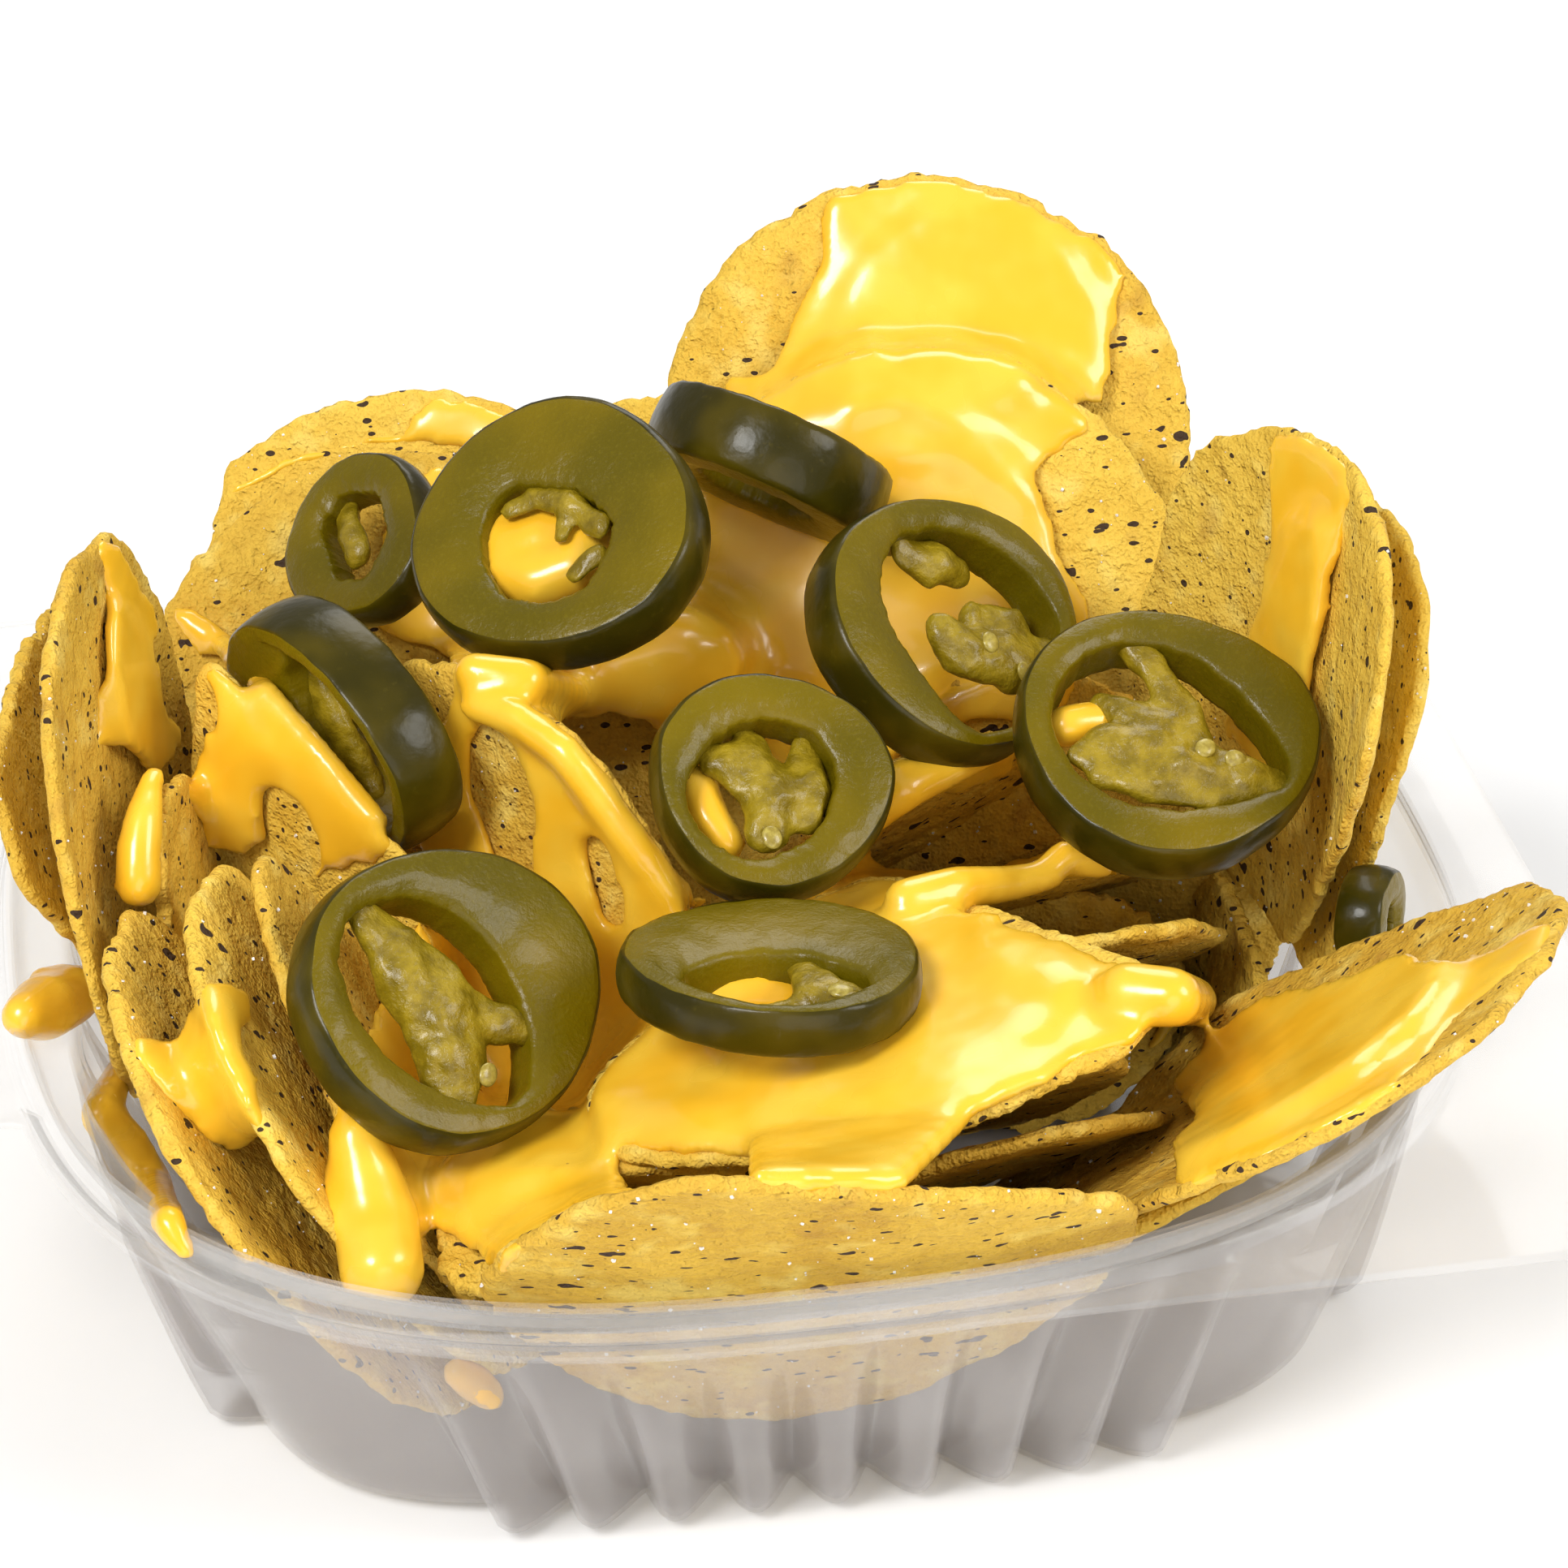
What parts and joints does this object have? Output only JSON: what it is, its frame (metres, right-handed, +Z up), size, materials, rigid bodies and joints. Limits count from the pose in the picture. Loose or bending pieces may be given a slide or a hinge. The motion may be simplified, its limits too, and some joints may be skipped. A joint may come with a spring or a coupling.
{
  "type": "nachos in a tray",
  "caption": "Round tortilla chips heaped in a clear ribbed plastic tray, with melted cheese sauce and pickled jalapeno slices.",
  "frame": {"origin": "on the surface the tray stands on, under the middle of the whole", "axes": "+Z up, -Y towards the front, +X to the right along the longest side"},
  "size_m": [0.186, 0.1654, 0.0897],
  "materials": {
    "clear_plastic": "clear, slightly hazy",
    "tortilla_chip": "rough, speckled",
    "cheese_sauce": "glossy, wet",
    "jalapeno_flesh": "wet, translucent"
  },
  "bodies": {
    "root": {"cheese_back_front": "cheese_sauce", "cheese_back_middle": "cheese_sauce", "cheese_back_top": "cheese_sauce", "cheese_centre_flat": "cheese_sauce", "cheese_front_left": "cheese_sauce", "cheese_left_curl": "cheese_sauce", "cheese_left_front": "cheese_sauce", "cheese_pool_back": "cheese_sauce", "cheese_pool_left": "cheese_sauce", "cheese_pool_middle": "cheese_sauce", "cheese_right_curl": "cheese_sauce", "cheese_right_low": "cheese_sauce", "chip_back_front": "tortilla_chip", "chip_back_left": "tortilla_chip", "chip_back_left_front": "tortilla_chip", "chip_back_middle": "tortilla_chip", "chip_back_top": "tortilla_chip", "chip_behind_corner": "tortilla_chip", "chip_behind_left": "tortilla_chip", "chip_behind_right": "tortilla_chip", "chip_centre_back": "tortilla_chip", "chip_centre_flat": "tortilla_chip", "chip_centre_front": "tortilla_chip", "chip_centre_left": "tortilla_chip", "chip_centre_middle": "tortilla_chip", "chip_centre_under": "tortilla_chip", "chip_front": "tortilla_chip", "chip_front_left": "tortilla_chip", "chip_front_right": "tortilla_chip", "chip_left_curl": "tortilla_chip", "chip_left_edge": "tortilla_chip", "chip_left_front": "tortilla_chip", "chip_left_front_curl": "tortilla_chip", "chip_left_front_inner": "tortilla_chip", "chip_left_outer": "tortilla_chip", "chip_left_stand": "tortilla_chip", "chip_right_curl": "tortilla_chip", "chip_right_inner": "tortilla_chip", "chip_right_low": "tortilla_chip", "chip_right_outer": "tortilla_chip", "jalapeno_1": "jalapeno_flesh", "jalapeno_10": "jalapeno_flesh", "jalapeno_2": "jalapeno_flesh", "jalapeno_3": "jalapeno_flesh", "jalapeno_4": "jalapeno_flesh", "jalapeno_5": "jalapeno_flesh", "jalapeno_6": "jalapeno_flesh", "jalapeno_7": "jalapeno_flesh", "jalapeno_8": "jalapeno_flesh", "jalapeno_9": "jalapeno_flesh", "tray": "clear_plastic"}
  },
  "joints": []
}
